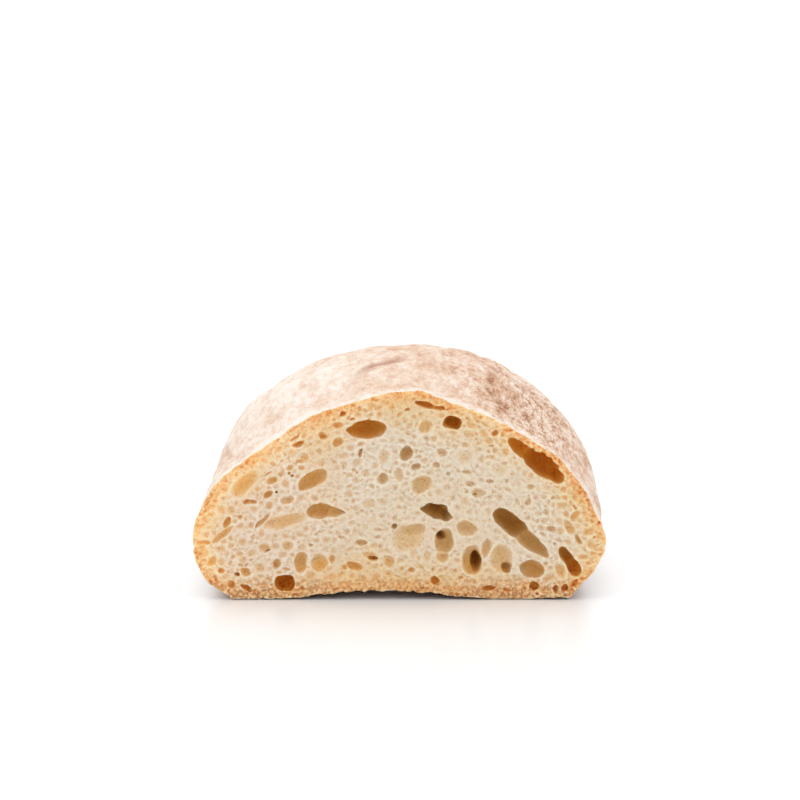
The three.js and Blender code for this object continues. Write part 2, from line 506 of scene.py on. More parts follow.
RIGHT_PORES = (
    Pore(-8.0, 12.1, 1.6, 0.6, 3.2, -3),
    Pore(-9.0, 13.0, 2.2, 1.0, 1.1),
    Pore(-3.2, 11.4, 1.9, 2.0, 1.3, 20),
    Pore(-5.0, 25.1, 1.1, 0.7, 0.8),
    Pore(-1.4, 21.7, 0.9, 0.9, 2.4),
    Pore(-1.4, 24.2, 0.7, 1.0, 0.9),
    Pore(-6.3, 20.7, 1.4, 0.7, 0.9),
    Pore(-6.5, 18.5, 1.2, 0.5, 0.9),
    Pore(2.4, 18.4, 5.4, 4.2, 1.6, 10, 2.2),
    Pore(3.4, 20.4, 4.6, 1.9, 2.4, 12),
    Pore(3.2, 8.7, 1.0, 0.8, 1.2),
    Pore(10.3, 5.6, 1.4, 1.2, 2.6),
    Pore(16.2, 8.6, 0.9, 0.7, 0.9),
    Pore(17.9, 6.3, 1.1, 0.7, 1.0),
    Pore(10.4, 26.4, 3.2, 1.9, 9, -4, 3.6),
    Pore(10.5, 25.7, 5.0, 2.0, 8, -15, 1.4),
    Pore(12.6, 25.0, 2.3, 1.5, 8, -30, 2.6),
    Pore(12.9, 17.4, 2.7, 3.7, 4.0, 0, 2.1),
    Pore(11.9, 18.6, 1.4, 1.7, 8.0, 30),
    Pore(12.5, 12.6, 1.7, 1.7, 1.8, -30),
    Pore(19.6, 21.0, 3.5, 2.2, 2.6, -12),
    Pore(21.2, 11.5, 3.1, 4.3, 3.6),
    Pore(22.0, 11.1, 1.7, 2.9, 11),
    Pore(3.9, 14.0, 1.4, 2.3, 0.7),
    Pore(7.8, 12.8, 1.2, 2.0, 0.7),
    Pore(32.4, 22.4, 6.0, 2.9, 9.5, -38, 2.2),
    Pore(37.2, 18.0, 8.3, 2.3, 5.5, -41, 1.7),
    Pore(25.2, 15.2, 1.5, 2.9, 1.9, -8),
    Pore(29.7, 12.2, 3.2, 4.4, 2.2, 0, 2.4),
    Pore(31.0, 9.4, 1.6, 1.5, 4.5, -40),
    Pore(38.5, 9.0, 3.8, 2.6, 4.2, -12, 1.9),
    Pore(39.5, 3.8, 1.5, 1.5, 3.0),
    Pore(49.2, 11.8, 4.2, 1.6, 7.0, -57),
    Pore(51.0, 9.2, 2.7, 2.1, 7.0, -64),
    Pore(46.9, 8.5, 1.5, 2.4, 1.1, 25),
    Pore(45.4, 3.2, 0.8, 1.2, 2.2),
    Pore(48.1, 3.4, 1.1, 1.2, 2.6),
    Pore(51.5, 4.9, 1.6, 0.8, 1.7, 32),
    Pore(44.0, 21.0, 1.6, 1.0, 1.4, -20),
    Pore(49.6, 21.4, 2.6, 1.2, 1.2, -52),
    Pore(52.2, 17.8, 1.8, 0.7, 1.4, -62),
    Pore(51.3, 24.8, 2.1, 1.2, 1.0, 50),
    Pore(26.0, 3.3, 2.3, 0.8, 2.4, -2),
    Pore(31.2, 2.6, 1.2, 0.6, 1.6, -25),
    Pore(53.6, 12.6, 1.9, 1.0, 0.8),
    Pore(21.8, 30.9, 0.8, 0.5, 2.0),
)


# ---- Crumb -----------------------------------------------------------------------------


@dataclass
class PoreField:
    """Signed distances to the pores, on a lattice of points behind the cut.

    A pore is a superellipsoid. Its distance is r(1 - 1/k), with r the way from its middle
    and k that way as a share of the pore's own reach in the same direction. Where two pores
    meet, their walls run into each other softly. A share of each pore's depth is lost in
    front of the cut, from the most for a shallow one to less than none for a deep one. The
    pores are bent by a wide noise, the crook, and a fine one, the fray.
    """

    x: np.ndarray
    z: np.ndarray
    behind: np.ndarray
    margin: float = 1.2
    crook: float = 0.4
    fray: float = 0.12
    blend: float = 0.22
    wide_bend: Triple = (2.7, 3.2, 2.7)
    fine_bend: Triple = (1.0, 1.3, 1.0)
    bend_seeds: Sequence[tuple[int, int]] = ((21, 31), (22, 32))
    flat_loss: float = 0.85
    loss_by_depth: float = 0.55
    least_loss: float = -0.1
    most_loss: float = 0.72
    values: np.ndarray = field(init=False)
    bent_x: np.ndarray = field(init=False)
    bent_z: np.ndarray = field(init=False)

    def __post_init__(self) -> None:
        """Bend the lattice with noise, so that no pore is a true ellipsoid."""
        shape = (self.x.size, self.z.size, self.behind.size)
        x = self.x[:, None, None]
        z = self.z[None, :, None]
        behind = self.behind[None, None, :]
        self.values = np.full(shape, self.margin, dtype=np.float32)
        bends = []
        for wide_seed, fine_seed in self.bend_seeds:
            wide = Noise(self.wide_bend, wide_seed, self.crook)
            fine = Noise(self.fine_bend, fine_seed, self.fray)
            bends.append(wide.at(x, behind, z) + fine.at(x, behind, z))
        self.bent_x = x.astype(np.float32) + bends[0]
        self.bent_z = z.astype(np.float32) + bends[1]

    def part(self, axis: np.ndarray, middle: float, reach: float) -> slice:
        """Find the part of an axis that lies within a reach of a place on it.

        Args:
            axis: The lattice's places, rising.
            middle: The place.
            reach: How far the part goes on each side.

        Returns:
            The slice of the axis.
        """
        low = np.searchsorted(axis, middle - reach)
        high = np.searchsorted(axis, middle + reach)
        return slice(int(low), int(high))

    def add(self, pore: Pore, middle: float) -> None:
        """Join one pore to the field.

        Args:
            pore: The pore.
            middle: How far behind the cut its middle lies.
        """
        reach = max(pore.half_length, pore.half_height) + self.margin
        part = (
            self.part(self.x, pore.x, reach),
            self.part(self.z, pore.z, reach),
            self.part(self.behind, middle, pore.depth + self.margin),
        )
        tilt = math.radians(pore.tilt)
        across = self.bent_x[part] - pore.x
        up = self.bent_z[part] - pore.z
        deep = (self.behind[part[2]] - middle)[None, None, :].astype(np.float32)
        along = across * math.cos(tilt) + up * math.sin(tilt)
        over = up * math.cos(tilt) - across * math.sin(tilt)
        power = pore.outline
        flat = (np.abs(along) / pore.half_length) ** power
        flat = (flat + (np.abs(over) / pore.half_height) ** power) ** (2.0 / power)
        share = np.sqrt(flat + (deep / pore.depth) ** 2) + TINY
        away = np.sqrt(along ** 2 + over ** 2 + deep ** 2)
        distance = away * (1.0 - 1.0 / share)
        self.values[part] = -soft_max(-self.values[part], -distance, self.blend)

    def open(self, pore: Pore) -> None:
        """Open a pore in the cut, as wide and as deep as it says.

        The knife met a deep pore near its middle, and only the bottom of a shallow one: its
        middle lies in front of the cut, so the cut runs softly into it. The share of the
        depth that the knife took away falls as the pore gets deeper for its width.

        Args:
            pore: The pore.
        """
        narrow = min(pore.half_length, pore.half_height)
        lost = self.flat_loss - self.loss_by_depth * pore.depth / narrow
        lost = min(max(lost, self.least_loss), self.most_loss)
        widen = 1.0 / math.sqrt(1.0 - lost ** 2)
        whole_depth = pore.depth / (1.0 - lost)
        self.add(pore._replace(
            half_length=pore.half_length * widen,
            half_height=pore.half_height * widen,
            depth=whole_depth,
        ), -lost * whole_depth)


class Stretch(NamedTuple):
    """How the dough's stretch leans its cells along the near crust, in degrees and mm."""

    steepest: float = 38.0
    width: float = 25.0
    height: float = 30.0
    least: float = 0.3

    def tilt_at(self, x: float, z: float) -> float:
        """Give the tilt at a place: none in the middle, steepest high up on the sides."""
        rise = np.clip(z / self.height, self.least, 1.0)
        return float(self.steepest * np.tanh(-x / self.width) * rise)


@dataclass(frozen=True)
class Foam:
    """Small cells between the pores: shallow bowls a millimetre or so across.

    They are longest along the dough's stretch, with thin walls left between them. Pairs are
    the least and the most of a value. Depths are shares of a cell's radius, up to the
    greatest depth in millimetres. The way to the nearest pore is trusted up to a share of
    the pores' margin.
    """

    cells: int = 4200
    tries: int = 14
    seed: int = 7
    usual_radius: float = 0.46
    radius_spread: float = 0.45
    radii: Pair = (0.3, 1.5)
    gap: float = 0.12
    trusted: float = 0.95
    off_crust: float = 1.8
    off_crust_by_radius: float = 0.6
    closeness: float = 0.94
    stretch_spread: float = 0.16
    depths: Pair = (0.35, 0.95)
    deep_cells: float = 0.08
    deep_depths: Pair = (1.0, 1.8)
    greatest_depth: float = 0.75
    tilt_spread: float = 24.0
    outlines: Pair = (1.9, 2.6)

    def pack(self, pores: PoreField, inside: np.ndarray, stretch: Stretch) -> None:
        """Pack the cells between the pores, the widest first and none over another.

        Args:
            pores: The field that they join.
            inside: Distances inwards from the crust, on the lattice of x and z.
            stretch: How the dough was stretched.
        """
        draw = np.random.default_rng(self.seed)
        radii = draw.normal(math.log(self.usual_radius), self.radius_spread, self.cells)
        radii = np.sort(np.clip(np.exp(radii), *self.radii))[::-1]
        clear = pores.values[:, :, np.searchsorted(pores.behind, 0.0)].copy()
        kept = np.zeros((self.cells, 3))
        count = 0
        for radius in radii:
            off_crust = self.off_crust + self.off_crust_by_radius * radius
            off_pores = min(radius + self.gap, self.trusted * pores.margin)
            for _ in range(self.tries):
                i = draw.integers(0, pores.x.size)
                j = draw.integers(0, pores.z.size)
                if inside[i, j] < off_crust or clear[i, j] < off_pores:
                    continue
                x, z = pores.x[i], pores.z[j]
                apart = np.hypot(kept[:count, 0] - x, kept[:count, 1] - z)
                if np.all(apart > self.closeness * (kept[:count, 2] + radius)):
                    kept[count] = (x, z, radius)
                    count += 1
                    break
        for x, z, radius in kept[:count]:
            drawn_out = math.exp(abs(draw.normal(0.0, self.stretch_spread)))
            depth = radius * draw.uniform(*self.depths)
            if draw.uniform() < self.deep_cells:
                depth = radius * draw.uniform(*self.deep_depths)
            tilt = stretch.tilt_at(x, z) + draw.normal(0.0, self.tilt_spread)
            depth = min(depth, self.greatest_depth)
            pores.open(Pore(
                x, z, radius * drawn_out, radius / drawn_out, depth, tilt,
                draw.uniform(*self.outlines)))


@dataclass(frozen=True)
class CrustFoam:
    """Fine cells that prick the crust's strip, closest together along the base.

    Pairs are the least and the most of a value. Lengths and depths are shares of a cell's
    radius, and the strip is measured inwards from the crust.
    """

    cells: int = 1100
    seed: int = 8
    strip: Pair = (0.3, 3.2)
    low: float = 7.0
    skipped_above: float = 0.6
    radii: Pair = (0.22, 0.5)
    lengths: Pair = (1.0, 1.8)
    depths: Pair = (0.6, 2.0)

    def prick(self, pores: PoreField, inside: np.ndarray, stretch: Stretch) -> None:
        """Open the cells at random places of the strip, fewer above its low part.

        Args:
            pores: The field that they join.
            inside: Distances inwards from the crust, on the lattice of x and z.
            stretch: How the dough was stretched.
        """
        draw = np.random.default_rng(self.seed)
        least, most = self.strip
        opened = 0
        while opened < self.cells:
            i = draw.integers(0, pores.x.size)
            j = draw.integers(0, pores.z.size)
            if not least < inside[i, j] < most:
                continue
            if pores.z[j] > self.low and draw.uniform() < self.skipped_above:
                continue
            radius = draw.uniform(*self.radii)
            x, z = float(pores.x[i]), float(pores.z[j])
            pores.open(Pore(
                x, z, radius * draw.uniform(*self.lengths), radius,
                radius * draw.uniform(*self.depths), stretch.tilt_at(x, z)))
            opened += 1


@dataclass
class Crumb:
    """The open crumb: the cut face, its pores and a narrow strip of crust round them.

    The solid is where max(cut, outside, -pores) is below zero, all signed distances, with
    soft creases. Its surface is drawn through a lattice of that value, then thinned where
    it is flat. The cut waves gently and is rough, the edge is frayed, most at the base, and
    the wall that the larger pores leave by the crust is jagged. Lengths are in millimetres.

    Attributes:
        front: How far the lattice goes in front of the cut.
        reach: How far it goes behind the cut.
        reach_cells: How many of its last cells are left off.
        rim_depth: How far behind the cut the crumb ends at the crust.
        slant_step: The angle in radians that the outline's slant is measured over.
        skin_depth: How near the crust the surface counts as the crust's own.
        lip: How soft the creases are.
    """

    form: LoafForm
    spacing: float = 0.28
    widths: Pair = (-63.5, 63.5)
    heights: Pair = (-1.5, 64.0)
    front: float = 1.2
    reach: float = 15.0
    reach_cells: float = 2.5
    rim_depth: float = 2.2
    rim_points: int = 3000
    slant_step: float = 0.02
    skin_depth: float = 0.5
    wall: float = 1.8
    wall_jag: Noise = Noise((1.1, 1.1, 1.1), 44, 1.1)
    cell_wall: float = 0.4
    fray: Noise = Noise((1.3, 1.3, 1.3), 41)
    crown_fray: float = 0.2
    base_fray: float = 0.2
    base_height: float = 3.0
    base_fade: float = 4.0
    wave: Noise = Noise((11, 11, 11), 42, 0.25)
    tooth: Noise = Noise((0.8, 0.8, 0.8), 43, 0.1)
    lip: float = 0.5
    triangles: int = 128_000
    foam: Foam = Foam()
    crust_foam: CrustFoam = CrustFoam()
    stretch: Stretch = Stretch()

    def rim(self) -> tuple[np.ndarray, np.ndarray]:
        """Measure the crust's outline near the cut.

        Returns:
            Angles about the loaf's long axis, rising, and the outline's reach at each.
        """
        turn = np.linspace(0.0, 1.0, self.rim_points, endpoint=False)
        skin = self.form.skin(turn, np.full_like(turn, self.rim_depth / 2))
        up = skin[:, 2] - self.form.waist_height
        angle = np.arctan2(up, skin[:, 0])
        order = np.argsort(angle)
        return angle[order], np.hypot(skin[:, 0], up)[order]

    def outside(self, x: np.ndarray, z: np.ndarray) -> np.ndarray:
        """Give the signed distance to the crust's outline, below zero inside.

        It is the way past the outline along a ray, shortened by the outline's slant to it.

        Args:
            x: Places across the loaf.
            z: Heights.

        Returns:
            Distances in millimetres.
        """
        angles, reaches = self.rim()
        up = z - self.form.waist_height
        angle = np.arctan2(up, x)
        reach = np.interp(angle, angles, reaches, period=2 * np.pi)
        step = self.slant_step
        ahead = np.interp(angle + step, angles, reaches, period=2 * np.pi)
        before = np.interp(angle - step, angles, reaches, period=2 * np.pi)
        slant = (ahead - before) / (2 * step) / reach
        return (np.hypot(x, up) - reach) / np.sqrt(1 + slant ** 2)

    def solid(self) -> tuple[np.ndarray, np.ndarray]:
        """Sample the solid's signed value on the lattice.

        Returns:
            The values, over x, z and the distance behind the cut, and the lattice's corner.
        """
        x = np.arange(*self.widths, self.spacing)
        z = np.arange(*self.heights, self.spacing)
        behind = np.arange(-self.front, self.reach, self.spacing)
        face = (x[:, None], 0.0, z[None, :])
        outside = self.outside(x[:, None], z[None, :])
        base = 1.0 - smooth_step((z[None, :] - self.base_height) / self.base_fade)
        outside = outside + self.fray.at(*face) * (self.crown_fray + self.base_fray * base)
        pores = PoreField(x, z, behind)
        for pore in CROWN_PORES + LEFT_PORES + RIGHT_PORES:
            pores.open(pore)
        guard = outside + self.wall + self.wall_jag.at(*face)
        guard = guard[:, :, None].astype(np.float32)
        np.maximum(pores.values, guard, out=pores.values)
        self.foam.pack(pores, -outside, self.stretch)
        self.crust_foam.prick(pores, -outside, self.stretch)
        guard = (outside + self.cell_wall)[:, :, None].astype(np.float32)
        np.maximum(pores.values, guard, out=pores.values)
        uneven = self.wave.at(*face) + self.tooth.at(*face)
        cut = uneven[:, :, None] - behind[None, None, :]
        value = soft_max(cut, outside[:, :, None], self.lip)
        value = soft_max(value, -pores.values, self.lip)
        corner = np.array([x[0], z[0], behind[0]])
        return np.clip(value, -1.0, 1.0).astype(np.float32), corner

    @staticmethod
    def largest_part(faces: np.ndarray, count: int) -> np.ndarray:
        """Find the faces of the part that holds together the most of them.

        Every point takes the lowest number among its faces' points until none changes.

        Args:
            faces: Corner numbers, one row a face.
            count: How many points there are.

        Returns:
            True for each face of that part.
        """
        label = np.arange(count)
        while True:
            lowest = label[faces].min(axis=1)
            fresh = label.copy()
            for corner in range(faces.shape[1]):
                np.minimum.at(fresh, faces[:, corner], lowest)
            fresh = fresh[fresh]
            if np.array_equal(fresh, label):
                break
            label = fresh
        owner = label[faces[:, 0]]
        return owner == np.bincount(owner).argmax()

    def surface(self) -> tuple[np.ndarray, np.ndarray]:
        """Draw the crumb's surface and leave off what lies deeper than the rim.

        Returns:
            Points in millimetres in the loaf's frame, and faces of four corners.
        """
        value, corner = self.solid()
        grid = openvdb.FloatGrid(1.0)
        grid.copyFromArray(value)
        points, _, faces = grid.convertToPolygons(isovalue=0.0, adaptivity=0.0)
        points = points.astype(float) * self.spacing + corner
        faces = faces.astype(np.int64)
        middle = points[faces].mean(axis=1)
        near_crust = self.outside(middle[:, 0], middle[:, 1]) > -self.skin_depth
        hidden = near_crust & (middle[:, 2] > self.rim_depth)
        hidden |= middle[:, 2] > self.reach - self.reach_cells * self.spacing
        faces = faces[~hidden]
        faces = faces[self.largest_part(faces, len(points))]
        used, faces = np.unique(faces, return_inverse=True)
        faces = faces.reshape(-1, 4)
        kept = points[used]
        y = kept[:, 2] - self.form.length / 2
        up = np.maximum(kept[:, 1], 0.0)
        return np.stack([kept[:, 0], y, up], axis=1), faces


# ---- Crust and the whole loaf ----------------------------------------------------------


class Side(Enum):
    """Which finish a face wears, by the number of its material slot."""

    CRUMB = 0
    CRUST = 1


@dataclass
class Crust:
    """The crust behind the rim: sections carried along the loaf, closed at its end.

    The two parameters are the way round a section and the distance behind the cut.
    """

    form: LoafForm
    start: float = 3.1
    around: int = 276
    along: int = 120

    def surface(self) -> tuple[np.ndarray, np.ndarray]:
        """Lay the crust's grid of points.

        The distance behind the cut goes from the start to the tip as a sine of the way
        along, so rings lie closer together where the end turns in.

        Returns:
            Points in millimetres, and faces of four corners that close round each ring.
        """
        turn = np.linspace(0.0, 1.0, self.around, endpoint=False)
        angle = np.linspace(0.0, np.pi / 2, self.along)
        behind = self.start + (self.form.length - self.start) * np.sin(angle)
        turns, behinds = np.meshgrid(turn, behind)
        points = self.form.skin(turns, behinds).reshape(-1, 3)
        ring = np.arange(self.along - 1)[:, None] * self.around
        here = np.arange(self.around)[None, :]
        there = (here + 1) % self.around
        corners = (ring + here, ring + there, ring + self.around + there, ring + self.around + here)
        return points, np.stack(corners, axis=-1).reshape(-1, 4)


@dataclass
class Loaf:
    """The half loaf: crumb and crust as one closed mesh with two finishes.

    Attributes:
        form: The crust's surface.
        pole_length: How much of the tip has its points merged.
        pole_merge: How near each other those points are.
        crust_depth: How near the outline a face behind the cut wears the crust's finish.
        cut_facing: How squarely a face looks out of the cut to stay crumb all the same.
    """

    form: LoafForm = field(default_factory=LoafForm)
    pole_length: float = 6.0
    pole_merge: float = 0.3
    crust_depth: float = 0.248
    cut_facing: float = 0.8

    @staticmethod
    def mesh(name: str, points: np.ndarray, faces: np.ndarray) -> bpy.types.Mesh:
        """Make a mesh of points in millimetres and faces of four corners.

        Args:
            name: The mesh's name.
            points: x, y and z rows.
            faces: Rows of corner numbers.

        Returns:
            The mesh, in metres.
        """
        made = bpy.data.meshes.new(name)
        made.vertices.add(len(points))
        made.vertices.foreach_set("co", (points * MM).astype(np.float32).ravel())
        made.loops.add(faces.size)
        made.loops.foreach_set("vertex_index", faces.astype(np.int32).ravel())
        made.polygons.add(len(faces))
        starts = np.arange(0, faces.size, faces.shape[1], dtype=np.int32)
        made.polygons.foreach_set("loop_start", starts)
        made.update(calc_edges=True)
        made.validate()
        return made

    def thinned(self, made: bpy.types.Mesh, triangles: int) -> bpy.types.Mesh:
        """Thin a mesh with the Decimate modifier, which spends its triangles on the curves.

        Args:
            made: A mesh of faces with four corners.
            triangles: How many triangles stay.

        Returns:
            A new mesh.
        """
        piece = placed("thinning", made)
        modifier = piece.modifiers.new("thin", "DECIMATE")
        modifier.ratio = triangles / (2 * len(made.polygons))
        graph = bpy.context.evaluated_depsgraph_get()
        result = bpy.data.meshes.new_from_object(piece.evaluated_get(graph))
        bpy.data.objects.remove(piece)
        return result

    def joined(self, crumb: bpy.types.Mesh, crust: bpy.types.Mesh) -> bpy.types.Mesh:
        """Join the crumb's rim to the crust's first ring and close the crust's tip.

        Args:
            crumb: The crumb, open only along its rim.
            crust: The crust, open at its first ring and pinched at its tip.

        Returns:
            One closed mesh.
        """
        whole = bmesh.new()
        whole.from_mesh(crust)
        tip = (self.form.length / 2 - self.pole_length) * MM
        bmesh.ops.remove_doubles(
            whole, verts=[v for v in whole.verts if v.co.y > tip], dist=self.pole_merge * MM)
        whole.from_mesh(crumb)
        open_edges = [e for e in whole.edges if e.is_boundary]
        for face in bmesh.ops.bridge_loops(whole, edges=open_edges)["faces"]:
            face.material_index = Side.CRUST.value
        bmesh.ops.triangulate(whole, faces=[f for f in whole.faces if len(f.verts) > 4])
        bmesh.ops.recalc_face_normals(whole, faces=whole.faces)
        loose = sum(1 for edge in whole.edges if not edge.is_manifold)
        if loose:
            raise ValueError(f"the loaf's skin is open or doubled along {loose} edges")
        made = bpy.data.meshes.new(NODE + "_bread")
        whole.to_mesh(made)
        whole.free()
        return made

    @staticmethod
    def rows(items: bpy.types.bpy_prop_collection, name: str) -> np.ndarray:
        """Read a vector from each of a mesh's items.

        Args:
            items: The mesh's points or faces.
            name: The vector's name.

        Returns:
            One row an item.
        """
        values = np.empty(len(items) * 3, dtype=np.float32)
        items.foreach_get(name, values)
        return values.reshape(-1, 3)

    def mark(self, made: bpy.types.Mesh, crumb: Crumb) -> None:
        """Give each point its depth and its distance from the crust, and each face its side.

        Args:
            made: The whole loaf's mesh.
            crumb: The crumb, which knows the crust's outline near the cut.
        """
        points = self.rows(made.vertices, "co") / MM
        behind = points[:, 1] + self.form.length / 2
        inward = -crumb.outside(points[:, 0], points[:, 2])
        inward = np.where(behind > crumb.reach, 0.0, inward)
        up = points[:, 2] - self.form.waist_height
        fold = self.form.fold.at(points[:, 0], behind) * (up > 0)
        furrow = self.form.wrinkles.at(points[:, 0], behind, up)
        for name, values in (
            ("behind", behind), ("inward", inward), ("fold", fold), ("furrow", furrow),
        ):
            layer = made.attributes.new(name, "FLOAT", "POINT")
            layer.data.foreach_set("value", values.astype(np.float32))
        middle = self.rows(made.polygons, "center") / MM
        normal = self.rows(made.polygons, "normal")
        side = np.empty(len(made.polygons), dtype=np.int32)
        made.polygons.foreach_get("material_index", side)
        outside = crumb.outside(middle[:, 0], middle[:, 2])
        at_crust = (outside > -self.crust_depth) & (normal[:, 1] > -self.cut_facing)
        side[at_crust] = Side.CRUST.value
        made.polygons.foreach_set("material_index", side)
        made.polygons.foreach_set("use_smooth", np.ones(len(made.polygons), dtype=bool))

    def build(self) -> bpy.types.Object:
        """Build the loaf in place of the plain CAD solid.

        Returns:
            The piece, riding on the part's one body.
        """
        crumb = Crumb(self.form)
        inner = self.thinned(self.mesh("crumb", *crumb.surface()), crumb.triangles)
        outer = self.mesh("crust", *Crust(self.form).surface())
        outer.polygons.foreach_set(
            "material_index", np.full(len(outer.polygons), Side.CRUST.value, dtype=np.int32))
        made = self.joined(inner, outer)
        self.mark(made, crumb)
        made.materials.append(CrumbFinish().material())
        made.materials.append(CrustFinish().material())
        piece = placed("ciabatta_bread", made)
        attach(piece, "root")
        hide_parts(NODE)
        return piece


# ---- Finishes --------------------------------------------------------------------------


# A noise stays within the first span nearly all the time, and within the second mostly.
NEARLY_ALL = (0.2, 0.8)
MOST = (0.3, 0.7)


class Bench:
    """A material's node tree, with one way to add a node to it."""

    def __init__(self, name: str) -> None:
        """Start a material and clear its tree."""
        self.made = bpy.data.materials.new(name)
        self.made.use_nodes = True
        self.tree = self.made.node_tree
        self.tree.nodes.clear()

    def add(self, kind: str, links: dict | None = None, sockets: dict | tuple = (),
            out: str = "", stops: Stops = (), **settings: object) -> Socket | None:
        """Add a node with its settings, incoming links, socket values and colour stops.

        Args:
            kind: The node's type name, without "ShaderNode".
            links: Input name or number to the output that feeds it.
            sockets: Input name to its value, or values for the inputs after the first. A
                Map Range's are the two ends that it reads between, and what each gives.
            out: The output that is wanted, or nothing for the first one in use.
            stops: A colour ramp's numbers and sRGB hex colours, rising. Each is placed by
                its share of the last number.
            settings: The node's own properties.

        Returns:
            The output, or None for a node that has none.
        """
        node = self.tree.nodes.new("ShaderNode" + kind)
        for name, value in settings.items():
            setattr(node, name, value)
        if isinstance(sockets, tuple):
            sockets = dict(enumerate(sockets, 1))
        for name, value in sockets.items():
            node.inputs[name].default_value = value
        for name, source in (links or {}).items():
            self.tree.links.new(source, node.inputs[name])
        for number, (place, colour) in enumerate(stops):
            if number == len(node.color_ramp.elements):
                node.color_ramp.elements.new(1.0)
            node.color_ramp.elements[number].position = place / stops[-1][0]
            node.color_ramp.elements[number].color = linear(colour)
        if out:
            return node.outputs[out]
        return next((output for output in node.outputs if output.enabled), None)

    def toned(self, number: Socket, stops: Stops) -> Socket:
        """Colour a number, such as a distance in millimetres, by stops in its own unit."""
        share = self.add("MapRange", {"Value": number}, (0.0, stops[-1][0]))
        return self.add("ValToRGB", {"Fac": share}, stops=stops)

    def added(self, start: Socket, rows: Sequence[tuple]) -> Socket:
        """Add numbers to one, each mapped from the span it is read over to another.

        Args:
            start: The number to start from.
            rows: A number, the two ends that it is read between, and what each end gives.

        Returns:
            The sum.
        """
        total = start
        for number, *ends in rows:
            part = self.add("MapRange", {"Value": number}, tuple(ends))
            total = self.add("Math", {0: total, 1: part}, operation="ADD")
        return total


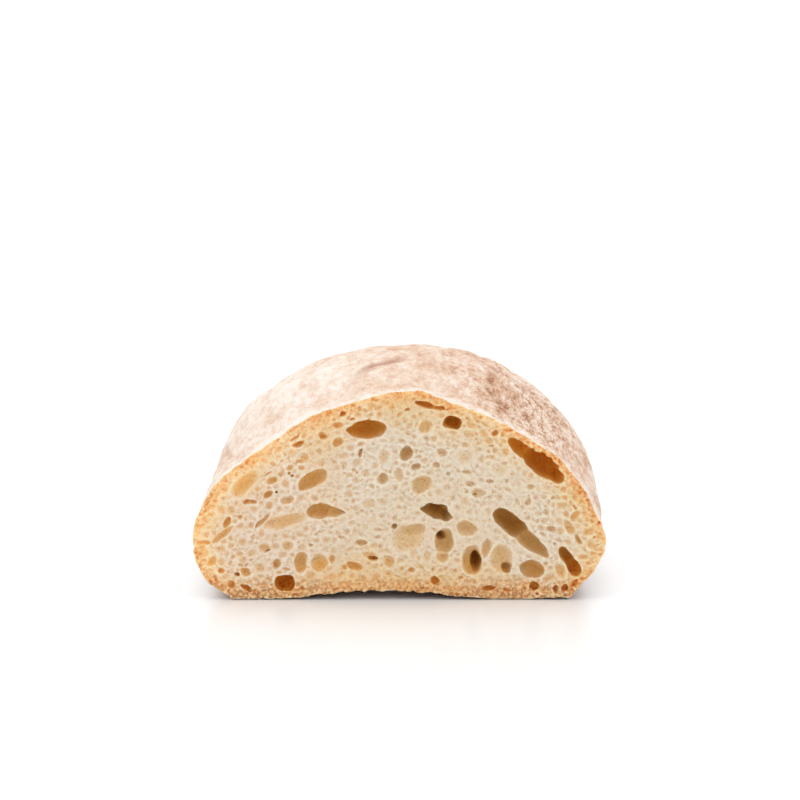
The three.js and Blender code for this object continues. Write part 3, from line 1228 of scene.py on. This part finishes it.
@dataclass(frozen=True)
class CrumbFinish:
    """Baked wheat crumb, torn by a bread knife.

    Steam blew the dough's cells open and set their walls, so the cut is cream and matt, and
    a pore's wall is smooth and tighter. Its colour is painted amber and darker as it goes
    deeper: a painted shade, and the painted glow of light that has come through more bread.
    Near the crust the crumb dries and browns, most over the stone. The colours that go with a
    distance from the crust, or behind the cut, are set against millimetres, and so are the
    sizes of the patterns.
    """

    crumb: Stops = (
        (0.0, "D39A62"), (0.9, "E2B681"), (2.0, "EACE9F"), (3.4, "E9D1AC"), (7.0, "E5D4B9"),
        (14.0, "E3D6C4"))
    # Painted light: the crumb's colours on its left, where the window shines through the loaf.
    crumb_in_light: Stops = (
        (0.0, "F0C890"), (1.2, "F8DAAB"), (3.0, "F7E2BE"), (7.0, "ECDAC4"), (14.0, "E6D6C7"))
    rind: Stops = ((0.36, "C98C50"), (0.5, "E8BC84"), (0.64, "F8DFB2"))
    sole: Stops = ((0.36, "B58660"), (0.5, "DFB890"), (0.62, "F0D6B4"))
    # Painted shade and painted glow: the deeper a pore's wall lies behind the cut, the darker and
    # more amber it is painted.
    deep: Stops = (
        (0.0, "FFFFFF"), (0.3, "FDF9F1"), (0.8, "FBECD2"), (1.8, "F9E0B6"), (3.5, "F6D69E"),
        (6.5, "EEC67E"), (10.0, "E6B662"))
    painted_depth_shade_by_crust: Stops = (
        (0.0, "FFFFFF"), (0.3, "FDF2DE"), (0.8, "FDE0AE"), (1.8, "FDD080"), (3.5, "FFCC68"),
        (6.5, "FFC554"), (10.0, "FBBC48"))
    # Painted shade on the floors of pits too small to be modelled.
    painted_pit_shade: str = "E9D2AE"
    drift: float = 11.0
    tear: float = 1.4
    # Real grains and cells go down to a tenth of a millimetre, too fine to show. These are
    # drawn as coarse as they have to be.
    grain: float = 0.9
    cell: float = 0.8

    def material(self) -> bpy.types.Material:
        """Build the crumb's material.

        Returns:
            The material.
        """
        bench = Bench("baked_wheat_crumb")
        add = bench.add
        place = add("TexCoord", out="Object")
        across = add("SeparateXYZ", {"Vector": place}, out="X")
        height = add("SeparateXYZ", {"Vector": place}, out="Z")
        behind, inward = (
            add("Attribute", attribute_name=name, out="Fac") for name in ("behind", "inward"))
        drift, tear, grain = (
            add("TexNoise", {"Vector": place}, {"Scale": repeats(size), "Detail": detail})
            for size, detail in ((self.drift, 3.0), (self.tear, 3.0), (self.grain, 2.0)))

        # The crust's brown gives way to cream over a border that wanders and looks torn, and
        # sooner on the left, where the crumb is painted lighter: painted light from the window
        # shining through the loaf.
        near = bench.added(inward, (
            (drift, *NEARLY_ALL, -2.2, 2.2),
            (tear, *NEARLY_ALL, -1.2, 1.2),
        ))
        painted_light_on_left = add("MapRange", {"Value": across}, (0.0, -48 * MM, 0.0, 0.8))
        ground = add("Mix", {
            "Factor": painted_light_on_left, "A": bench.toned(near, self.crumb),
            "B": bench.toned(near, self.crumb_in_light)}, data_type="RGBA")

        # By the crust, dry crumb breaks into dark and pale grains.
        crumbly = add("MapRange", {"Value": near}, (2.4, 0.6, 0.0, 0.5))
        ground = add("Mix", {"Factor": crumbly, "A": ground, "B": bench.toned(grain, self.rind)},
                     data_type="RGBA")

        # Over the stone the same grains are browner, up to a height that wanders.
        sole = add("MapRange", {"Value": height}, (7.5 * MM, 1.5 * MM, 0.0, 0.9))
        baked = bench.added(sole, ((drift, *NEARLY_ALL, -0.36, 0.36),))
        low = add("MapRange", {"Value": height}, (10 * MM, 6 * MM))
        baked = add("Math", {0: baked, 1: low}, operation="MULTIPLY", use_clamp=True)
        ground = add("Mix", {"Factor": baked, "A": ground, "B": bench.toned(grain, self.sole)},
                     data_type="RGBA")

        # Here and there, pits with dim floors: the cells that are too small to be modelled. The dim
        # floors are painted shade.
        cells = add("TexVoronoi", {"Vector": place}, {"Scale": repeats(self.cell)}, feature="F1")
        hollow = add("MapRange", {"Value": cells}, (0.1, 0.45, 0.9, 0.0))
        patch = add("MapRange", {"Value": tear}, (0.42, 0.62))
        pit_shade_share = add("Math", {0: hollow, 1: patch}, operation="MULTIPLY")
        floor = add("Mix", {"A": ground}, {"Factor": 1.0, "B": linear(self.painted_pit_shade)},
                    data_type="RGBA", blend_type="MULTIPLY")
        ground = add("Mix", {"Factor": pit_shade_share, "A": ground, "B": floor}, data_type="RGBA")

        # A pore is painted the more amber and darker the deeper it goes, a painted shade and glow,
        # and redder by the crust and on the left, where the left is painted light from the window.
        by_crust = add("MapRange", {"Value": near}, (17.0, 5.0))
        glow = add("Math", {0: by_crust, 1: painted_light_on_left}, operation="ADD", use_clamp=True)
        painted_pore_shade = add("Mix", {
            "Factor": glow, "A": bench.toned(behind, self.deep),
            "B": bench.toned(behind, self.painted_depth_shade_by_crust)}, data_type="RGBA")
        colour = add("Mix", {"A": ground, "B": painted_pore_shade}, {"Factor": 1.0},
                     data_type="RGBA", blend_type="MULTIPLY")

        # The pits and grains catch a little shade, and light soaks some way into the crumb.
        relief = add("Math", {0: hollow, 1: grain}, operation="SUBTRACT")
        bump = add("Bump", {"Height": relief}, {"Strength": 0.7, "Distance": 0.3 * MM},
                   invert=True)
        shader = add("BsdfPrincipled", {"Base Color": colour, "Normal": bump}, {
            "Roughness": 0.6, "IOR": 1.4, "Subsurface Weight": 0.85,
            "Subsurface Scale": 3 * MM, "Subsurface Radius": (1.0, 0.75, 0.5)})
        add("OutputMaterial", {"Surface": shader})
        return bench.made


@dataclass(frozen=True)
class CrustFinish:
    """Thin ciabatta crust, proved on a floured cloth and baked on stone.

    The dough browns to a dull pinkish tan, and the flour stays on it in drifts that run
    along the loaf, thick on the sides and rubbed thin on the crown, where the skin shows
    through in specks and cracks. The right shoulder was brushed barest and only flecks of
    flour are left there. The flour is also painted thicker on the left as painted light from
    the window, and thinner on the right shoulder as painted shade. Underneath, where it lay on
    the stone, it is browner, and darker still as a painted shade under the loaf. The sizes of
    the patterns are in millimetres.
    """

    tones: Stops = ((0.0, "A27252"), (0.3, "CCA386"), (0.6, "DEC4AF"), (0.95, "ECE1D6"))
    fleck: str = "F2EAE0"
    # The sole is brown from the stone, and darkened further as a painted shade under the loaf.
    sole: str = "7E5230"
    crease: str = "A0674F"
    cloth_stretch: float = 0.45
    drift: float = 22.0
    patch: float = 6.5
    # Real specks of flour are a few tenths of a millimetre across, and the flecks finer
    # still, too fine to show. Both are drawn as coarse as they have to be.
    speckle: float = 1.9
    fleck_size: float = 0.9

    def material(self) -> bpy.types.Material:
        """Build the crust's material.

        Returns:
            The material.
        """
        bench = Bench("floured_ciabatta_crust")
        add = bench.add
        place = add("TexCoord", out="Object")
        height = add("SeparateXYZ", {"Vector": place}, out="Z")
        behind, fold, furrow = (
            add("Attribute", attribute_name=name, out="Fac")
            for name in ("behind", "fold", "furrow"))
        drawn = add("Mapping", {"Vector": place}, {"Scale": (1.0, self.cloth_stretch, 1.0)})
        drifts, patches, speckles = (
            add("TexNoise", {"Vector": drawn}, {
                "Scale": repeats(size), "Detail": detail, "Roughness": roughness})
            for size, detail, roughness in (
                (self.drift, 4.0, 0.55), (self.patch, 4.0, 0.6), (self.speckle, 6.0, 0.7)))

        # The flour is thinner to the right, partly real and partly painted: painted light on the
        # left, where the window is, and painted shade on the right. That lopsidedness fades towards
        # the closed end.
        across = add("Math", {
            0: add("SeparateXYZ", {"Vector": place}, out="X"),
            1: add("MapRange", {"Value": behind}, (80.0, 135.0, 1.0, 0.1)),
        }, operation="MULTIPLY")
        shoulder = add("Math", {
            0: add("MapRange", {"Value": across}, (10 * MM, 38 * MM)),
            1: add("MapRange", {"Value": across}, (46 * MM, 60 * MM, 1.0, 0.2)),
        }, operation="MULTIPLY")
        rubbed = add("Math", {
            0: add("MapRange", {"Value": speckles}, (*MOST, -0.42, 0.42)),
            1: add("MapRange", {"Value": shoulder}, (0.0, 1.0, 0.25, 1.0)),
        }, operation="MULTIPLY")
        edge = bench.added(behind, (
            (patches, *MOST, -3.0, 3.0),
            (drifts, *MOST, 4.0, -4.0),
        ))
        # Drifts, patches and specks of flour, thick on the left, at the far right and in a ragged
        # band by the cut, and thin in the furrows and on the right shoulder. The extra flour on the
        # left is partly painted light, and the thinning on the right shoulder partly painted shade.
        flour = bench.added(rubbed, (
            (drifts, *MOST, 0.4, 0.74),
            (patches, *MOST, -0.17, 0.17),
            (speckles, *MOST, -0.18, 0.18),
            (across, 10 * MM, -35 * MM, 0.0, 0.24),
            (across, 46 * MM, 60 * MM, 0.0, 0.14),
            (edge, 2.0, 8.0, 0.32, 0.0),
            (furrow, 0.0, 1.0, 0.0, -0.22),
            (shoulder, 0.0, 1.0, 0.0, -0.14),
        ))
        colour = bench.toned(flour, self.tones)

        # Pale flecks of flour, most of them on the bare shoulder.
        cells = add("TexVoronoi", {"Vector": drawn}, {"Scale": repeats(self.fleck_size)},
                    feature="F1")
        flecks = add("MapRange", {"Value": cells}, (0.45, 0.2, 0.0, 0.7))
        for share in (
            add("MapRange", {"Value": patches}, (0.4, 0.55)),
            add("MapRange", {"Value": shoulder}, (0.0, 1.0, 0.2, 1.0)),
        ):
            flecks = add("Math", {0: flecks, 1: share}, operation="MULTIPLY")
        colour = add("Mix", {"Factor": flecks, "A": colour}, {"B": linear(self.fleck)},
                     data_type="RGBA")

        # The foot is brown from the stone up to a height that wanders, and darker still as a
        # painted shade under the loaf; the fold is brown too.
        ledge = add("MapRange", {"Value": drifts}, (*NEARLY_ALL, 1 * MM, 8 * MM))
        under = add("Math", {0: height, 1: ledge}, operation="SUBTRACT")
        under = add("MapRange", {"Value": under}, (2.5 * MM, -3 * MM, 0.0, 0.9))
        colour = add("Mix", {"Factor": under, "A": colour}, {"B": linear(self.sole)},
                     data_type="RGBA")
        folded = add("MapRange", {"Value": fold}, (0.1, 1.0, 0.0, 0.7))
        colour = add("Mix", {"Factor": folded, "A": colour}, {"B": linear(self.crease)},
                     data_type="RGBA")

        # The skin is dimpled under a dry, matt grain.
        coarse = add("Bump", {"Height": patches}, {"Strength": 0.7, "Distance": 1.6 * MM})
        bump = add("Bump", {"Height": speckles, "Normal": coarse}, {
            "Strength": 0.8, "Distance": 0.7 * MM})
        shader = add("BsdfPrincipled", {"Base Color": colour, "Normal": bump}, {
            "Roughness": 0.85, "IOR": 1.4, "Subsurface Weight": 0.08,
            "Subsurface Scale": 1 * MM, "Subsurface Radius": (1.0, 0.5, 0.25)})
        add("OutputMaterial", {"Surface": shader})
        return bench.made


@dataclass(frozen=True)
class TableFinish:
    """White laminate board, pressed smooth, so that what stands on it mirrors faintly."""

    white: str = "F4F5F7"
    roughness: float = 0.26

    def material(self) -> bpy.types.Material:
        """Build the table's material.

        Returns:
            The material.
        """
        bench = Bench("white_laminate")
        shader = bench.add("BsdfPrincipled", None, {
            "Base Color": linear(self.white), "Roughness": self.roughness, "IOR": 1.4})
        bench.add("OutputMaterial", {"Surface": shader})
        return bench.made


# ---- Studio ----------------------------------------------------------------------------


@dataclass
class Studio:
    """Floor, sky, window light and camera, in metres, with the sensor in millimetres."""

    floor_half: float = 6.0
    floor_drop: float = 0.0002
    target: Triple = (0.0, -0.070, 0.0590)
    camera_back: float = 0.7386
    camera_height: float = 0.1612
    sensor: float = 36.0
    frame_width: float = 0.2321
    sky: float = 1.12
    window_place: Triple = (-0.15, 0.35, 1.2)
    window_side: float = 1.8
    window_watts: float = 5.5
    lit_height: float = 0.03

    def floor(self) -> None:
        """Lay a wide white table just under the loaf."""
        half, low = self.floor_half, -self.floor_drop
        made = bpy.data.meshes.new("table")
        made.from_pydata(
            [(-half, -half, low), (half, -half, low), (half, half, low), (-half, half, low)],
            [], [(0, 1, 2, 3)])
        made.materials.append(TableFinish().material())
        placed("table", made)

    def window(self) -> None:
        """Hang a square soft light high behind the loaf, facing it."""
        lamp = bpy.data.lights.new("window", "AREA")
        lamp.size = self.window_side
        lamp.energy = self.window_watts
        lit = Vector((0.0, 0.0, self.lit_height))
        aim(placed("window", lamp), Vector(self.window_place), lit)

    def world(self) -> None:
        """Surround the table with an even white sky."""
        sky = bpy.data.worlds.new("studio")
        sky.use_nodes = True
        sky.node_tree.nodes["Background"].inputs["Color"].default_value = (1, 1, 1, 1)
        sky.node_tree.nodes["Background"].inputs["Strength"].default_value = self.sky
        bpy.context.scene.world = sky
        bpy.context.scene.view_settings.view_transform = "Standard"

    def camera(self) -> None:
        """Set the camera in front of the cut, a little above it, with a long lens."""
        lens = bpy.data.cameras.new("camera")
        lens.sensor_width = self.sensor
        target = Vector(self.target)
        eye = Vector((0.0, target.y - self.camera_back, self.camera_height))
        lens.lens = self.sensor * (target - eye).length / self.frame_width
        bpy.context.scene.camera = placed("camera", lens)
        aim(bpy.context.scene.camera, eye, target)

    def build(self) -> None:
        """Set up the whole studio."""
        self.floor()
        self.world()
        self.window()
        self.camera()


def main() -> None:
    """Build the studio and the loaf, and log the loaf's points and faces."""
    logging.basicConfig(level=logging.INFO, format="%(name)s: %(message)s")
    Studio().build()
    bread = Loaf().build()
    log.info("%s: %d points and %d faces", bread.name, len(bread.data.vertices),
             len(bread.data.polygons))


if __name__ == "__main__":
    main()
